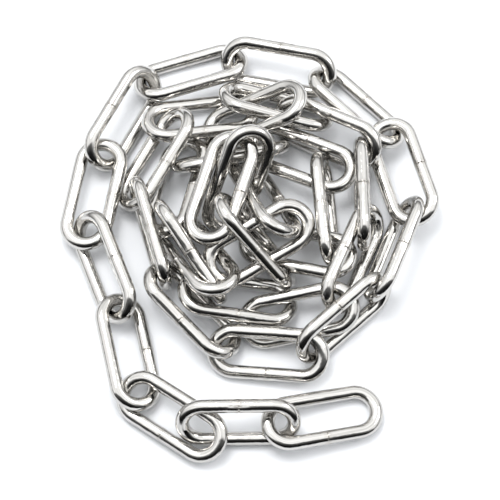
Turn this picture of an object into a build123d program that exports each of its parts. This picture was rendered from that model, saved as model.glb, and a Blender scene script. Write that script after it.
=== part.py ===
from build123d import *
import itertools
import math
import os

import numpy as np

# Long-link welded steel chain, 5 mm wire on a 35 mm pitch, lying in a heap on a flat surface.
# The heap was laid as a spiral: the outer turn runs clockwise from the free end at the front
# right, the inner turns lie inside it and on each other, and the inner end is half buried.
# Frame: millimetres, +Z up, the surface under the heap at Z = 0, origin at the middle of the
# heap's footprint, +Y away from the free end.

# ---------------------------------------------------------------- driving dimensions
wire = 5.0                     # wire diameter
pitch = 35.0                   # inside length of a link
inside_width = 10.0            # inside width of a link
bead_height = 0.10             # how far the butt weld stands proud of the wire
bead_length = 3.6              # length of the weld's swollen part along the leg
bead_root = 0.05               # how far inside the wire's skin the swelling starts
clearance = 0.27               # free air kept between neighbouring wires

bend_radius = (inside_width + wire) / 2          # centreline of the crowns
half_leg = pitch / 2 + wire / 2 - bend_radius    # half the straight part of a leg
gauge = wire + clearance                         # least distance between two centrelines
bead_foot = wire / 2 - bead_root                 # radius of the bead at its two ends

# ---------------------------------------------------------------- how the links were laid
# One row per link, from the free end inwards:
# name, x and y of its middle, height of its first and of its second crown, the heading from the
# first crown to the second (degrees from +X towards +Y), the roll about its length (degrees,
# positive lifts the left leg), and the side its weld is on (+1 left leg, -1 right leg).
laid = [
    # front of the outer turn, running left
    ("link_01", 24, -64, 3, 8, 190, 20, 1),
    ("link_02", -6, -67, 5, 5, 180, -20, -1),
    ("link_03", -30, -64, 5, 5, 158, 20, 1),
    # left side, running back
    ("link_04", -47, -40, 3, 11, 110, 25, -1),
    ("link_05", -55, -8, 5, 5, 107, -25, -1),
    ("link_06", -59, 20, 5, 5, 71, 5, -1),
    ("link_07", -50, 50, 5, 8, 70, 35, 1),
    # back of the outer turn, running right
    ("link_08", -26, 69, 5, 5, 14, -20, 1),
    ("link_09", 9, 73, 5, 5, -6, 20, 1),
    ("link_10", 38, 56, 5, 5, -36, -20, 1),
    # right side, running forward; the twelfth link stands on edge
    ("link_11", 56, 30, 5, 5, -74, 20, 1),
    ("link_12", 54, -1, 10, 9, 255, 80, 1),
    ("link_13", 31, -27, 6, 7, 209, -20, -1),
    # second turn
    ("link_14", 4, -39, 6, 6, 176, 10, 1),
    ("link_15", -25, -25, 8, 8, 145, 47, 1),
    ("link_16", -41, 6, 10, 10, 98, -70, -1),
    ("link_17", -37, 35, 7, 9, 64, -35, -1),
    ("link_18", -21, 50, 8, 8, -3, -35, -1),
    ("link_19", 1, 50, 17, 19, 5, 15, 1),
    ("link_20", 7, 55, 20, 8, -16, -20, 1),
    ("link_21", 27, 44, 8, 8, -18, 20, 1),
    ("link_22", 40, 18, 11, 11, -85, 85, 1),
    ("link_23", 36, -6, 9, 4, 255, -30, -1),
    ("link_24", 17, -21, 4, 4, 176, 0, 1),
    ("link_25", -9, -20, 6, 4, 168, 15, 1),
    # third turn, mostly on top of the others
    ("link_26", -22, -2, 7, 16, 121, -70, -1),
    ("link_27", -28, 22, 9, 9, 75, -30, -1),
    ("link_28", -10, 35, 9, 9, -5, -65, -1),
    ("link_29", 16, 36, 10, 7, -22, 10, 1),
    ("link_30", 26, 9, 11, 10, 266, 85, 1),
    ("link_31", 16, -3, 6, 6, 170, -5, -1),
    ("link_32", -2, -3, 7, 14, 142, 30, 1),
    # the inner end: one link lies on top of the middle, the last four work down under it
    ("link_33", -13, 13, 14, 17, 79, -15, -1),
    ("link_34", -7, 22, 13, 5, 246, 15, 1),
    ("link_35", 5, 18, 8, 8, -33, -60, 1),
    ("link_36", 2, -3, 7, 8, 207, 0, 1),
    ("link_37", -22, -4, 6, 6, 122, 10, 1),
]
count = len(laid)


# ---------------------------------------------------------------- the laid links, as bare curves
def centreline(on_leg, on_crown):
    """Points along a link's centreline: down one leg, round a crown, back and round the other."""
    s = np.linspace(-half_leg, half_leg, on_leg, endpoint=False)
    a = np.linspace(-math.pi / 2, math.pi / 2, on_crown, endpoint=False)
    near = np.stack([s, 0 * s - bend_radius], 1)
    bend = np.stack([half_leg + bend_radius * np.cos(a), bend_radius * np.sin(a)], 1)
    loop = np.concatenate([near, bend, -near, -bend])
    return np.concatenate([loop, np.zeros((len(loop), 1))], 1)


def axes_of(heading, climb, roll):
    """A link's axes as columns: along its length, across it, and out of its plane."""
    h, c, r = (math.radians(v) for v in (heading, climb, roll))
    along = np.array([math.cos(h) * math.cos(c), math.sin(h) * math.cos(c), math.sin(c)])
    left = np.array([-math.sin(h), math.cos(h), 0.0])
    across = left * math.cos(r) + np.cross(along, left) * math.sin(r)
    return np.stack([along, across, np.cross(along, across)], axis=1)


def winding(one, other):
    """How often one closed curve passes through the other (Gauss's linking number)."""
    one_next, other_next = np.roll(one, -1, 0), np.roll(other, -1, 0)
    corner = [
        other[None] - one[:, None],
        other_next[None] - one[:, None],
        other_next[None] - one_next[:, None],
        other[None] - one_next[:, None],
    ]
    face = [np.cross(corner[k], corner[(k + 1) % 4]) for k in range(4)]
    face = [f / np.maximum(np.linalg.norm(f, axis=-1, keepdims=True), 1e-12) for f in face]
    turn = sum(
        np.arcsin(np.clip((face[k] * face[(k + 1) % 4]).sum(-1), -1, 1)) for k in range(4)
    )
    side = np.cross((other_next - other)[None], (one_next - one)[:, None])
    return round(float((turn * np.sign((side * corner[0]).sum(-1))).sum() / (4 * math.pi)))


def thread(rows):
    """Hook each link through the one before it and through no other, as thin rings.

    The laid pose is tried first, then poses a little higher, lower, further rolled or shifted.
    """
    changes = itertools.product(
        (0, -15, 15, -30, 30, -45, 45, -60, 60, 90),
        (0, -3, 3, -6, 6, 9),
        (0, -3, 3, -6, 6, 9),
        (0, -3, 3),
        (0, -3, 3),
    )
    changes = sorted(
        changes,
        key=lambda c: abs(c[0]) / 15 + (abs(c[1]) + abs(c[2])) / 3 + (abs(c[3]) + abs(c[4])) / 2,
    )
    ring = centreline(20, 19)[::2]
    middles, turns, rings = [], [], []
    steepest, between_crowns, apart, neighbour = 22, 40, 0.9, 50
    for name, x, y, low, high, heading, roll, _ in rows:
        near = [k for k, m in enumerate(middles) if math.dist(m[:2], (x, y)) < neighbour]
        for more_roll, lift, tip, right, back in changes:
            a, b = low + lift, high + tip
            if min(a, b) < wire / 2 or abs(b - a) > steepest:
                continue
            climb = math.degrees(math.asin((b - a) / between_crowns))
            turn = axes_of(heading, climb, roll + more_roll)
            middle = np.array([x + right, y + back, (a + b) / 2])
            trial = middle + ring @ turn.T
            if trial[:, 2].min() < 1:
                continue
            if rings:
                others = np.concatenate([rings[k] for k in near])
                if ((trial[:, None] - others[None]) ** 2).sum(-1).min() < apart**2:
                    continue
                if abs(winding(trial, rings[-1])) != 1:
                    continue
                if any(winding(trial, rings[k]) for k in near if k != len(rings) - 1):
                    continue
            middles.append(middle)
            turns.append(turn)
            rings.append(trial)
            break
        else:
            raise ValueError(f"{name} can't be hooked through the link before it")
    return np.array(middles), np.array(turns)


# ---------------------------------------------------------------- settling under real wire size
# A link is felt at the points of one loop, and turns as easily as that loop's spread allows.
loop = centreline(20, 19)
points = len(loop)
spread = np.diag([(loop**2).sum(1).mean() - (loop[:, k] ** 2).mean() for k in range(3)])
ease = np.linalg.inv(spread)


def small_turns(vectors):
    """Rotation matrices about many vectors, each turning by its vector's length."""
    angle = np.linalg.norm(vectors, axis=1)[:, None, None] + 1e-12
    k = vectors[:, :, None] / angle
    cross = np.zeros((len(vectors), 3, 3))
    cross[:, 0, 1], cross[:, 0, 2], cross[:, 1, 2] = -k[:, 2, 0], k[:, 1, 0], -k[:, 0, 0]
    cross -= cross.transpose(0, 2, 1)
    return np.eye(3) + np.sin(angle) * cross + (1 - np.cos(angle)) * (cross @ cross)


def touching(curves, reach):
    """Pairs of links whose boxes come within reach of each other."""
    low, high = curves.min(1) - reach / 2, curves.max(1) + reach / 2
    meet = ((low[:, None] < high[None]) & (high[:, None] > low[None])).all(-1)
    return np.nonzero(np.triu(meet, 1))


def contacts(curves, pairs, reach):
    """The three deepest places where each pair of centrelines is closer than reach."""
    one, other = pairs
    a, b = curves[one], curves[other]
    far = (a**2).sum(-1)[:, :, None] + (b**2).sum(-1)[:, None, :] - 2 * a @ b.transpose(0, 2, 1)
    far = np.sqrt(np.maximum(far, 1e-12))
    rows = np.arange(len(one))
    clear_of_found, never = 7, 99.0    # points on each side of a found place, and their distance
    for _ in range(3):
        flat = far.reshape(len(one), -1)
        least = flat.argmin(1)
        i, j, gap = least // points, least % points, flat[rows, least]
        hit = gap < reach
        if hit.any():
            yield one[hit], other[hit], a[rows, i][hit], b[rows, j][hit], gap[hit]
        away = np.abs(np.arange(points)[None] - i[:, None])
        far[np.minimum(away, points - away) <= clear_of_found] = never


def push(middles, turns, pairs, reach, floor):
    """One round of pushing overlapping wires apart and out of the surface below.

    Each contact moves and turns both links by just enough to part them, shared by inertia.
    """
    curves = middles[:, None, :] + np.einsum("mk,njk->nmj", loop, turns)
    inertia = np.einsum("nij,jk,nlk->nil", turns, ease, turns)
    move, spin, hits = np.zeros((count, 3)), np.zeros((count, 3)), np.zeros(count)
    deepest = 0.0

    def lever(link, point, way):
        arm = np.cross(point - middles[link], way)
        swing = np.einsum("nij,nj->ni", inertia[link], arm)
        return swing, 1 + (arm * swing).sum(-1)

    for one, other, p, q, gap in contacts(curves, pairs, reach):
        way = (p - q) / gap[:, None]
        swing, weight = lever(one, p, way)
        swing_other, weight_other = lever(other, q, way)
        share = ((reach - gap) / (weight + weight_other))[:, None]
        for link, sign, s in ((one, 1, swing), (other, -1, swing_other)):
            np.add.at(move, link, sign * share * way)
            np.add.at(spin, link, sign * share * s)
            np.add.at(hits, link, 1)
        deepest = max(deepest, float((reach - gap).max()))
    # the surface holds up the lowest point of each half, and of the leg and crown between them
    for part in (slice(0, points // 2), slice(points // 2, points), slice(20, 60)):
        lowest = curves[:, part, 2].argmin(1)
        p = curves[:, part][np.arange(count), lowest]
        link = np.nonzero(p[:, 2] < floor)[0]
        if len(link):
            way = np.tile([0.0, 0.0, 1.0], (len(link), 1))
            swing, weight = lever(link, p[link], way)
            share = ((floor - p[link, 2]) / weight)[:, None]
            np.add.at(move, link, share * way)
            np.add.at(spin, link, share * swing)
            np.add.at(hits, link, 1)
            deepest = max(deepest, float((floor - p[link, 2]).max()))
    calm = 1.25 / np.sqrt(np.maximum(hits, 1))[:, None]
    move, spin = move * calm, spin * calm
    # a round moves a link by less than the wire is thick, so that no wire jumps over another
    stride = min(0.5, 0.2 * reach)
    for way, most in ((move, stride), (spin, stride / 20)):
        way *= np.minimum(1, most / np.maximum(np.linalg.norm(way, axis=1), 1e-9))[:, None]
    return move, spin, deepest


def settle(middles, turns):
    """Let the thin rings grow to the real wire, pushing each other apart and sinking down."""
    home, home_turns = middles.copy(), turns.copy()
    growing, resting = 1040, 2600      # rounds while the wire grows, and at most as many after
    thin = 0.8                         # the rings' wire at the start
    for k in range(growing + resting):
        grown = min(1.0, (k // 4 + 1) / (growing // 4))
        reach = thin + (gauge - thin) * grown
        if k < growing and k % 4 == 0 or k % 10 == 0:
            curves = middles[:, None, :] + np.einsum("mk,njk->nmj", loop, turns)
            pairs = touching(curves, reach + 3)
        floor = wire / 2 if k >= growing else max(reach / 2, 1.0)
        move, spin, deepest = push(middles, turns, pairs, reach, floor)
        # a link is pulled to its laid place and sinks by a small part of a millimetre a round;
        # both fade out once the wire is full size
        hold = 1.0 if k < growing else max(0.0, 1 - (k - growing) / 900)
        middles = middles + move
        middles[:, :2] += (0.01 if k < growing else 0.004 * hold) * (home - middles)[:, :2]
        middles[:, 2] -= (0.011 if k < growing else 0.02) * hold
        if k < growing:
            middles[:, 2] += 0.004 * (home - middles)[:, 2]
            drift = home_turns @ turns.transpose(0, 2, 1)
            back = np.stack(
                [
                    drift[:, 2, 1] - drift[:, 1, 2],
                    drift[:, 0, 2] - drift[:, 2, 0],
                    drift[:, 1, 0] - drift[:, 0, 1],
                ],
                axis=1,
            )
            spin = spin + 0.002 * back
        turns = small_turns(spin) @ turns
        if hold == 0 and deepest < 0.02:
            break
    return middles, turns


def centred(middles, turns):
    """The heap moved to stand on Z = 0 with its footprint's middle at the origin."""
    curves = middles[:, None, :] + np.einsum("mk,njk->nmj", centreline(40, 120), turns)
    low, high = curves.min((0, 1)) - wire / 2, curves.max((0, 1)) + wire / 2
    return middles - np.array([*(low + high)[:2] / 2, low[2]])


middles, turns = settle(*thread(laid))
middles = centred(middles, turns)


# ---------------------------------------------------------------- one solid per link
for (name, *_, side), middle, turn in zip(laid, middles, turns):
    along, across = turn[:, 0], turn[:, 1]
    plane = Plane(origin=Vector(*middle), x_dir=Vector(*along), z_dir=Vector(*turn[:, 2]))
    weld_leg = Plane(
        origin=Vector(*(middle + side * bend_radius * across)),
        x_dir=Vector(*along),
        z_dir=Vector(*turn[:, 2]),
    )
    with BuildPart() as link:
        # the bent wire: two straight legs joined by two half-round crowns
        with BuildLine(plane) as path:
            Line((-half_leg, -bend_radius), (half_leg, -bend_radius))
            ThreePointArc(
                (half_leg, -bend_radius), (half_leg + bend_radius, 0), (half_leg, bend_radius)
            )
            Line((half_leg, bend_radius), (-half_leg, bend_radius))
            ThreePointArc(
                (-half_leg, bend_radius), (-half_leg - bend_radius, 0), (-half_leg, -bend_radius)
            )
        start = middle - half_leg * along - bend_radius * across
        with BuildSketch(Plane(origin=Vector(*start), z_dir=Vector(*along))):
            Circle(wire / 2)
        sweep(path=path.line)
        # the butt weld at the middle of one leg, slightly proud of the wire
        with BuildSketch(weld_leg):
            with BuildLine():
                Line((-bead_length / 2, 0), (-bead_length / 2, bead_foot))
                ThreePointArc(
                    (-bead_length / 2, bead_foot),
                    (0, wire / 2 + bead_height),
                    (bead_length / 2, bead_foot),
                )
                Line((bead_length / 2, bead_foot), (bead_length / 2, 0))
                Line((bead_length / 2, 0), (-bead_length / 2, 0))
            make_face()
        revolve(axis=Axis(weld_leg.origin, weld_leg.x_dir))
    link.part.label = name
    os.makedirs("parts", exist_ok=True)
    export_step(link.part, f"parts/{name}.step")
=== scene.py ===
import math

import bpy
import numpy as np
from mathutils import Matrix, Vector


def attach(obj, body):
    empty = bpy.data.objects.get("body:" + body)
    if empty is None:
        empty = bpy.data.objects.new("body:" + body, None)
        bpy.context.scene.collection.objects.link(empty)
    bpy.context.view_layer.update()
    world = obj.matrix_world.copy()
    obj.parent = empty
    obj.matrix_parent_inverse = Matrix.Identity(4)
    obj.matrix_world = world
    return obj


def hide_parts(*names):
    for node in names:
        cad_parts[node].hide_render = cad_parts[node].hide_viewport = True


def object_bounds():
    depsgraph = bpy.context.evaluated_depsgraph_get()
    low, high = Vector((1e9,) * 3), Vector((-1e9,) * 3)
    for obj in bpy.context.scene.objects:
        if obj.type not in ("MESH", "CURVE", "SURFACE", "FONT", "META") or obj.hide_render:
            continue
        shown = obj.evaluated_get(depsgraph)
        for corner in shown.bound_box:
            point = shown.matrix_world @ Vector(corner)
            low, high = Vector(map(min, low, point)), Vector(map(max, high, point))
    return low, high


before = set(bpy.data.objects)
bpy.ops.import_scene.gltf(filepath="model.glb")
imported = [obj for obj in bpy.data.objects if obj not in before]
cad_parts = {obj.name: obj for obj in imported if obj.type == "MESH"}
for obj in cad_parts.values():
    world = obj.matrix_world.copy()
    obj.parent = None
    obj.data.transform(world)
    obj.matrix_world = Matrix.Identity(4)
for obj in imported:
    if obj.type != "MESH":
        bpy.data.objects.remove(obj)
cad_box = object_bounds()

# ------------------------------------------------------------------ the links
# Every link is the same piece: 5 mm stainless wire, drawn through a die, bent cold to a stadium
# 45 mm long and 20 mm wide, butt-welded in the middle of one leg and tumbled bright. The links
# differ only in how they lie in the heap and in how their weld came out.

HALF_LEG = 0.0125          # half the straight part of a leg, m
BEND = 0.0075              # crown radius, to the wire's centre, m
WIRE = 0.0025              # wire radius, m
CROWN = math.pi * BEND     # length of a crown along the wire, m
AROUND = 4 * HALF_LEG + 2 * CROWN      # length of the wire's centreline round a link, m
MM = 1000.0                # millimetres in a metre: the wire's marks are placed in mm

# marks on the wire: how many noise cells to a millimetre, across the wire twice and along it
DRAWN_LINES = (1.7, 1.7, 0.025)
SOFT_DENTS = (0.9, 0.9, 0.35)
BROAD_HAZE = (0.25, 0.25, 0.09)
LINK_STEP = 1000.0         # each link's wire starts at its own multiple of this, mm

CLEAN_STEEL = (0.63, 0.615, 0.59, 1)
LINED_STEEL = (0.46, 0.448, 0.428, 1)
WELDED_STEEL = (0.42, 0.395, 0.36, 1)


def node(tree, kind, inputs=(), **settings):
    """A shader node with its settings and its input values or incoming links."""
    made = tree.nodes.new(kind)
    for name, value in settings.items():
        setattr(made, name, value)
    for name, value in dict(inputs).items():
        if isinstance(value, bpy.types.NodeSocket):
            tree.links.new(value, made.inputs[name])
        else:
            made.inputs[name].default_value = value
    return made


def maths(tree, operation, a, b=0.0, c=0.0, clamp=False):
    """The output of a Math node."""
    return node(tree, "ShaderNodeMath", {0: a, 1: b, 2: c}, operation=operation,
                use_clamp=clamp).outputs[0]


def ramp(tree, value, low, high, to_low=0.0, to_high=1.0):
    """A value mapped smoothly from low..high to to_low..to_high, and held beyond them."""
    return node(tree, "ShaderNodeMapRange",
                {"Value": value, "From Min": low, "From Max": high,
                 "To Min": to_low, "To Max": to_high},
                interpolation_type="SMOOTHSTEP").outputs["Result"]


def stretched_noise(tree, place, scale, detail, roughness):
    """Noise over the wire's own places, with a different scale across and along it."""
    scaled = node(tree, "ShaderNodeMapping", {"Vector": place, "Scale": scale})
    return node(tree, "ShaderNodeTexNoise", {"Vector": scaled.outputs[0], "Scale": 1.0,
                                             "Detail": detail, "Roughness": roughness}
                ).outputs["Fac"]


def wire_marks_group():
    """Masks on drawn wire, from its place on the wire: across (x, y) and along (z), in mm.

    Lines: noise stretched along the wire. Pits: small soft dents. Weld: how near the butt weld.
    Scuff: the rubbed inner side of the crowns. Haze: broad cloudy patches.
    """
    group = bpy.data.node_groups.new("drawn wire marks", "ShaderNodeTree")
    group.interface.new_socket("Place", in_out="INPUT", socket_type="NodeSocketVector")
    for name in ("Lines", "Pits", "Weld", "Scuff", "Haze"):
        group.interface.new_socket(name, in_out="OUTPUT", socket_type="NodeSocketFloat")
    place = node(group, "NodeGroupInput").outputs["Place"]
    out = node(group, "NodeGroupOutput")
    split = node(group, "ShaderNodeSeparateXYZ", {0: place})
    along = maths(group, "MODULO", split.outputs["Z"], LINK_STEP)

    lines = stretched_noise(group, place, DRAWN_LINES, 5.0, 0.62)
    pits = stretched_noise(group, place, SOFT_DENTS, 3.0, 0.5)
    haze = stretched_noise(group, place, BROAD_HAZE, 2.0, 0.5)

    # the weld is where the wire's two ends meet, with a ragged edge to its heat mark
    to_weld = maths(group, "MINIMUM", along, maths(group, "SUBTRACT", AROUND * MM, along))
    ragged = maths(group, "MULTIPLY_ADD", pits, 1.6, -0.8)
    weld = ramp(group, maths(group, "ADD", to_weld, ragged), 1.9, 0.3)

    # the crowns come round every half turn of the wire, and their inner side faces inwards
    past_leg = maths(group, "SUBTRACT", along, HALF_LEG * MM)
    half_turn = maths(group, "MODULO", past_leg, AROUND * MM / 2)
    from_tip = maths(group, "ABSOLUTE", maths(group, "SUBTRACT", half_turn, CROWN * MM / 2))
    on_crown = ramp(group, from_tip, CROWN * MM / 2, CROWN * MM / 4)
    inner = ramp(group, split.outputs["X"], -0.8, -2.3)
    scuff = maths(group, "MULTIPLY", maths(group, "MULTIPLY", on_crown, inner),
                  ramp(group, pits, 0.40, 0.62))

    for name, value in (("Lines", lines), ("Pits", pits), ("Weld", weld), ("Scuff", scuff),
                        ("Haze", haze)):
        group.links.new(value, out.inputs[name])
    return group


def bright_steel():
    """Polished stainless wire: near-mirror, drawn lines in its gloss, a duller weld."""
    material = bpy.data.materials.new("bright drawn stainless")
    material.use_nodes = True
    tree = material.node_tree
    steel = tree.nodes["Principled BSDF"]
    place = node(tree, "ShaderNodeAttribute", attribute_name="wire_place")
    marks = node(tree, "ShaderNodeGroup", {"Place": place.outputs["Vector"]},
                 node_tree=wire_marks_group())
    lines, pits, weld, scuff, haze = (marks.outputs[name] for name in
                                      ("Lines", "Pits", "Weld", "Scuff", "Haze"))

    # colour: warm grey steel, a shade darker along some drawn lines, straw at the weld
    clean = node(tree, "ShaderNodeMix", {"Factor": ramp(tree, lines, 0.35, 0.68),
                                         6: CLEAN_STEEL, 7: LINED_STEEL}, data_type="RGBA")
    welded = node(tree, "ShaderNodeMix", {"Factor": maths(tree, "MULTIPLY", weld, 0.45),
                                          6: clean.outputs[2], 7: WELDED_STEEL},
                  data_type="RGBA")
    tree.links.new(welded.outputs[2], steel.inputs["Base Color"])

    # gloss: mirror with streaks along the wire, duller at the weld and where links rub
    streaks = ramp(tree, lines, 0.30, 0.75, 0.04, 0.13)
    clouded = maths(tree, "ADD", streaks, ramp(tree, haze, 0.45, 0.75, 0.0, 0.06))
    rubbed = maths(tree, "MULTIPLY_ADD", scuff, 0.12, clouded)
    rough = maths(tree, "MULTIPLY_ADD", weld, 0.12, rubbed, clamp=True)
    tree.links.new(rough, steel.inputs["Roughness"])

    height = maths(tree, "MULTIPLY_ADD", lines, 0.5, pits)
    bump = node(tree, "ShaderNodeBump", {"Height": height, "Strength": 0.18,
                                         "Distance": 0.0004})
    tree.links.new(bump.outputs["Normal"], steel.inputs["Normal"])
    steel.inputs["Metallic"].default_value = 1.0
    return material


POINTS_ROUND = 44          # mesh points round the wire

# the weld, m
SWELL_HEIGHT, SWELL_REACH = 0.00006, 0.0012        # low swelling left by the weld
STEP_HEIGHT, STEP_EDGE, STEP_REACH = 0.00004, 0.00010, 0.0022      # ends out of line
SEAM_DEPTH, SEAM_WIDTH = 0.00026, 0.00017          # seam left open
DRESSED_REACH, DRESSED_EDGE = 0.0036, 0.0009       # flat ground on it
DRESSED_LEVEL = 0.95       # distance from the wire's centre to the flat, in wire radii
CROWN_SQUEEZE = 0.00004    # how far the crowns were squeezed out of round, m
BY_THE_WELD = 0.0015       # how far along a leg the CAD link's weld is looked for, m


def stations():
    """Distances along the wire from the weld: close together at the weld, then even."""
    near = np.concatenate([np.linspace(0, 0.0006, 9), np.linspace(0.0006, 0.0030, 17)[1:],
                           np.linspace(0.0030, 0.0072, 8)[1:]])
    leg = np.linspace(near[-1], HALF_LEG, 6)[1:]
    crown = HALF_LEG + np.linspace(0, CROWN, 41)[1:]
    far_leg = np.linspace(crown[-1], AROUND / 2, 11)[1:]
    half = np.concatenate([near, leg, crown, far_leg])
    return np.concatenate([half, AROUND - half[-2:0:-1]])


def centreline(s):
    """The link's centreline at distance s from the weld, in its own plane.

    Half a leg, a half-round crown, a whole leg, the other crown and half a leg. Returns the
    points and the directions that point away from the link's middle.
    """
    turned = s > AROUND / 2
    t = np.where(turned, AROUND - s, s)            # the second half mirrors the first
    angle = np.clip((t - HALF_LEG) / BEND, 0, math.pi)
    beyond = np.clip(t - HALF_LEG - CROWN, 0, None)
    x = np.minimum(t, HALF_LEG) - beyond + BEND * np.sin(angle)
    y = BEND * np.cos(angle)
    flip = np.where(turned, -1.0, 1.0)
    points = np.stack([flip * x, y], axis=1)
    outward = np.stack([flip * np.sin(angle), np.cos(angle)], axis=1)
    return points, outward


def wire_radius(s, phi, weld):
    """The wire's radius at distance s along it and angle phi round it (0 faces outward).

    The drawn wire, squeezed a little round the crowns, plus the weld: a low swelling that
    falls off as a bell curve, the two ends a little out of line (a step in s times a cosine in
    phi), a thin seam left open over part of the way round, and a flat where it was dressed.
    The weld is given by the angles of its fuller side and of its seam, the seam's place along
    the wire, and the angle of its flat.
    """
    full_side, seam_side, seam_at, flat_side = weld
    signed = np.where(s > AROUND / 2, s - AROUND, s)       # distance from the weld, either way
    off = np.abs(signed)
    crown = np.clip((off - HALF_LEG) / BEND, 0, math.pi)
    squeeze = CROWN_SQUEEZE * np.sin(crown) * np.cos(2 * phi)
    swell = SWELL_HEIGHT * np.exp(-((off / SWELL_REACH) ** 2))
    swell = swell * (1 + 0.3 * np.cos(phi - full_side))
    step = STEP_HEIGHT * np.tanh((signed - seam_at) / STEP_EDGE) * np.cos(phi - seam_side)
    step = step * np.exp(-((off / STEP_REACH) ** 2))
    part_way = 0.5 + 0.5 * np.tanh(2.5 * (np.cos(phi - seam_side - 0.7) + 0.35))
    seam = -SEAM_DEPTH * np.exp(-(((signed - seam_at) / SEAM_WIDTH) ** 2)) * part_way
    dressed = 0.5 * (1 + np.tanh((DRESSED_REACH - off) / DRESSED_EDGE))
    flat = WIRE * DRESSED_LEVEL / np.maximum(np.cos(phi - flat_side), 0.2)
    base = WIRE + (np.minimum(flat, WIRE) - WIRE) * dressed
    return base + squeeze + swell + step + seam


def link_mesh(name, middle, along, across, weld, offset):
    """A closed tube of wire: rings round the centreline, one station after another.

    A point is centreline(s) + radius(s, phi) * (outward * cos(phi) + normal * sin(phi)).
    The attribute wire_place holds, per face corner, the place across and along the wire in mm.
    """
    normal = np.cross(along, across)
    s = stations()
    phi = np.linspace(0, 2 * math.pi, POINTS_ROUND, endpoint=False)
    flat, outward = centreline(s)
    axes = np.stack([along, across])
    centre = middle + flat @ axes
    out = outward @ axes
    radius = wire_radius(s[:, None], phi[None], weld)
    points = centre[:, None] + radius[..., None] * (
        np.cos(phi)[None, :, None] * out[:, None] + np.sin(phi)[None, :, None] * normal)

    rings, steps = len(s), len(phi)
    i, j = np.meshgrid(np.arange(rings), np.arange(steps), indexing="ij")
    corners_i = np.stack([i, i, i + 1, i + 1], axis=-1).reshape(-1)
    corners_j = np.stack([j, j + 1, j + 1, j], axis=-1).reshape(-1)
    index = (corners_i % rings) * steps + corners_j % steps

    mesh = bpy.data.meshes.new(name)
    mesh.vertices.add(rings * steps)
    mesh.vertices.foreach_set("co", points.astype(np.float32).ravel())
    mesh.loops.add(len(index))
    mesh.loops.foreach_set("vertex_index", index.astype(np.int32))
    mesh.polygons.add(rings * steps)
    mesh.polygons.foreach_set("loop_start", np.arange(0, len(index), 4, dtype=np.int32))
    mesh.polygons.foreach_set("use_smooth", np.ones(rings * steps, dtype=bool))

    side = phi[corners_j % steps]
    place = np.stack([WIRE * np.cos(side), WIRE * np.sin(side),
                      np.append(s, AROUND)[corners_i] + offset], axis=1) * MM
    mesh.attributes.new("wire_place", "FLOAT_VECTOR", "CORNER").data.foreach_set(
        "vector", place.astype(np.float32).ravel())
    mesh.update(calc_edges=True)
    mesh.validate()
    return mesh


def laid(cad):
    """How a CAD link lies: its middle, the way along it, and the way across it to its weld.

    The surface's area-weighted spread is greatest along the link and next across it. The weld
    is on the leg whose surface stands furthest from the wire's centreline near the middle.
    """
    mesh = cad.data
    mesh.calc_loop_triangles()
    vertices = np.empty(len(mesh.vertices) * 3)
    mesh.vertices.foreach_get("co", vertices)
    vertices = vertices.reshape(-1, 3)
    corners = np.empty(len(mesh.loop_triangles) * 3, dtype=np.int32)
    mesh.loop_triangles.foreach_get("vertices", corners)
    a, b, c = vertices[corners.reshape(-1, 3)].transpose(1, 0, 2)
    area = np.linalg.norm(np.cross(b - a, c - a), axis=1) / 2
    mids = (a + b + c) / 3
    middle = (area[:, None] * mids).sum(0) / area.sum()
    spread = sum(np.einsum("n,ni,nj->ij", area, p - middle, p - middle) for p in (a, b, c, mids))
    ways = np.linalg.eigh(spread)[1][:, ::-1]
    along, across = ways[:, 0], ways[:, 1]
    local = (vertices - middle) @ np.stack([along, across, np.cross(along, across)], axis=1)
    near = np.abs(local[:, 0]) < BY_THE_WELD
    off_leg = np.hypot(np.abs(local[:, 1]) - BEND, local[:, 2])
    on_left, on_right = (off_leg[near & (side * local[:, 1] > 0)].max(initial=0.0)
                         for side in (1, -1))
    return middle, along, across if on_left > on_right else -across


steel = bright_steel()
chance = np.random.default_rng(535)
for number, name in enumerate(sorted(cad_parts)):
    weld = (chance.uniform(0, 6.3), chance.uniform(0, 6.3), chance.uniform(-0.0003, 0.0003),
            chance.uniform(-1.0, 1.0))
    mesh = link_mesh(name + "_wire", *laid(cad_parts[name]), weld,
                     number * LINK_STEP / MM)
    link = bpy.data.objects.new(name + "_wire", mesh)
    bpy.context.scene.collection.objects.link(link)
    mesh.materials.append(steel)
    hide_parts(name)
    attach(link, name)


# ------------------------------------------------------------------ the board it lies on
# A white, faintly cool matt board, far wider than the heap and lit to about paper white. It
# lies just under the lowest links, so that no two faces share a place.

BOARD_HALF = 1.6           # half the board's width, m
BOARD_GAP = 0.00005        # air under the lowest link, m
BOARD_WHITE = (0.84, 0.853, 0.875, 1)


def white_board():
    """A square of four points at the heap's foot."""
    floor_z = cad_box[0][2] - BOARD_GAP
    square = [(x * BOARD_HALF, y * BOARD_HALF, floor_z)
              for x, y in ((-1, -1), (1, -1), (1, 1), (-1, 1))]
    mesh = bpy.data.meshes.new("board")
    mesh.from_pydata(square, [], [(0, 1, 2, 3)])
    board = bpy.data.objects.new("board", mesh)
    bpy.context.scene.collection.objects.link(board)
    material = bpy.data.materials.new("white board")
    material.use_nodes = True
    paper = material.node_tree.nodes["Principled BSDF"]
    paper.inputs["Base Color"].default_value = BOARD_WHITE
    paper.inputs["Roughness"].default_value = 0.75
    mesh.materials.append(material)


white_board()


# ------------------------------------------------------------------ light
# A white light tent: brightest overhead, grey low on its walls, and dark in front, where it is
# open. Two soft lamps over the back and the right draw the bright streaks along the wire.

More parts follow.
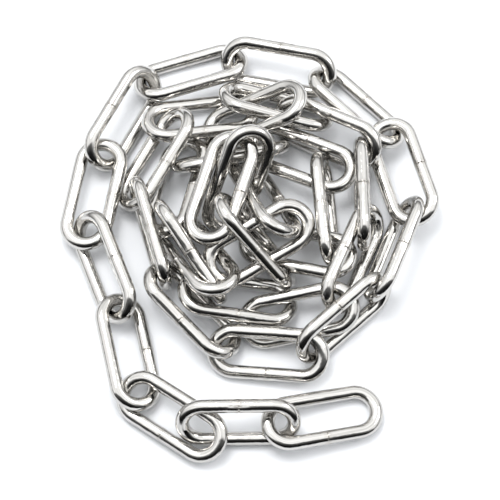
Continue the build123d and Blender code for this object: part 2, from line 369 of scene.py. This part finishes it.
def light_tent():
    """World light by direction, from the height and the backward part of a unit direction."""
    world = bpy.data.worlds.new("light tent")
    bpy.context.scene.world = world
    world.use_nodes = True
    tree = world.node_tree
    sky = tree.nodes["Background"]
    way = node(tree, "ShaderNodeTexCoord").outputs["Generated"]
    split = node(tree, "ShaderNodeSeparateXYZ", {0: way})
    up, back = split.outputs["Z"], split.outputs["Y"]
    walls = ramp(tree, up, 0.0, 0.50, 0.20, 1.42)
    roof = ramp(tree, up, 0.60, 0.95, 1.0, 1.20)
    front_edge = ramp(tree, back, -0.30, -0.46, 1.0, 0.12)
    front_depth = ramp(tree, back, -0.46, -0.80, 1.0, 0.12)
    opening = maths(tree, "MULTIPLY", front_edge, front_depth)
    strength = maths(tree, "MULTIPLY", maths(tree, "MULTIPLY", walls, roof), opening)
    tree.links.new(strength, sky.inputs["Strength"])
    sky.inputs["Color"].default_value = (0.98, 0.99, 1.0, 1)


def soft_lamp(name, place, size, power):
    """A square soft lamp at place, aimed at the heap's middle; size in m, power in W."""
    lamp = bpy.data.lights.new(name, "AREA")
    lamp.shape = "SQUARE"
    lamp.size = size
    lamp.energy = power
    holder = bpy.data.objects.new(name, lamp)
    bpy.context.scene.collection.objects.link(holder)
    holder.location = place
    holder.rotation_euler = (-Vector(place)).to_track_quat("-Z", "Y").to_euler()


light_tent()
soft_lamp("back_softbox", (-0.18, 0.26, 0.84), 0.36, 4.2)
soft_lamp("side_softbox", (0.62, 0.16, 0.55), 0.30, 1.4)


# ------------------------------------------------------------------ camera
# Looks steeply down on the heap from the front through a long lens, so that the wires keep
# nearly the same size from front to back.

DISTANCE = 0.65            # from the camera to its target, m
ELEVATION = math.radians(72)
TARGET = Vector((0.0003, -0.0023, 0.005))


def camera():
    """A camera in the YZ plane through the target, in front of the heap and above it."""
    lens = bpy.data.cameras.new("camera")
    lens.sensor_width = 36.0
    lens.lens = 126.4
    lens.clip_start = 0.05
    lens.clip_end = 10.0
    eye = bpy.data.objects.new("camera", lens)
    bpy.context.scene.collection.objects.link(eye)
    eye.location = TARGET + DISTANCE * Vector((0, -math.cos(ELEVATION), math.sin(ELEVATION)))
    eye.rotation_euler = (TARGET - eye.location).to_track_quat("-Z", "Y").to_euler()
    bpy.context.scene.camera = eye


camera()
bpy.context.scene.view_settings.view_transform = "Standard"
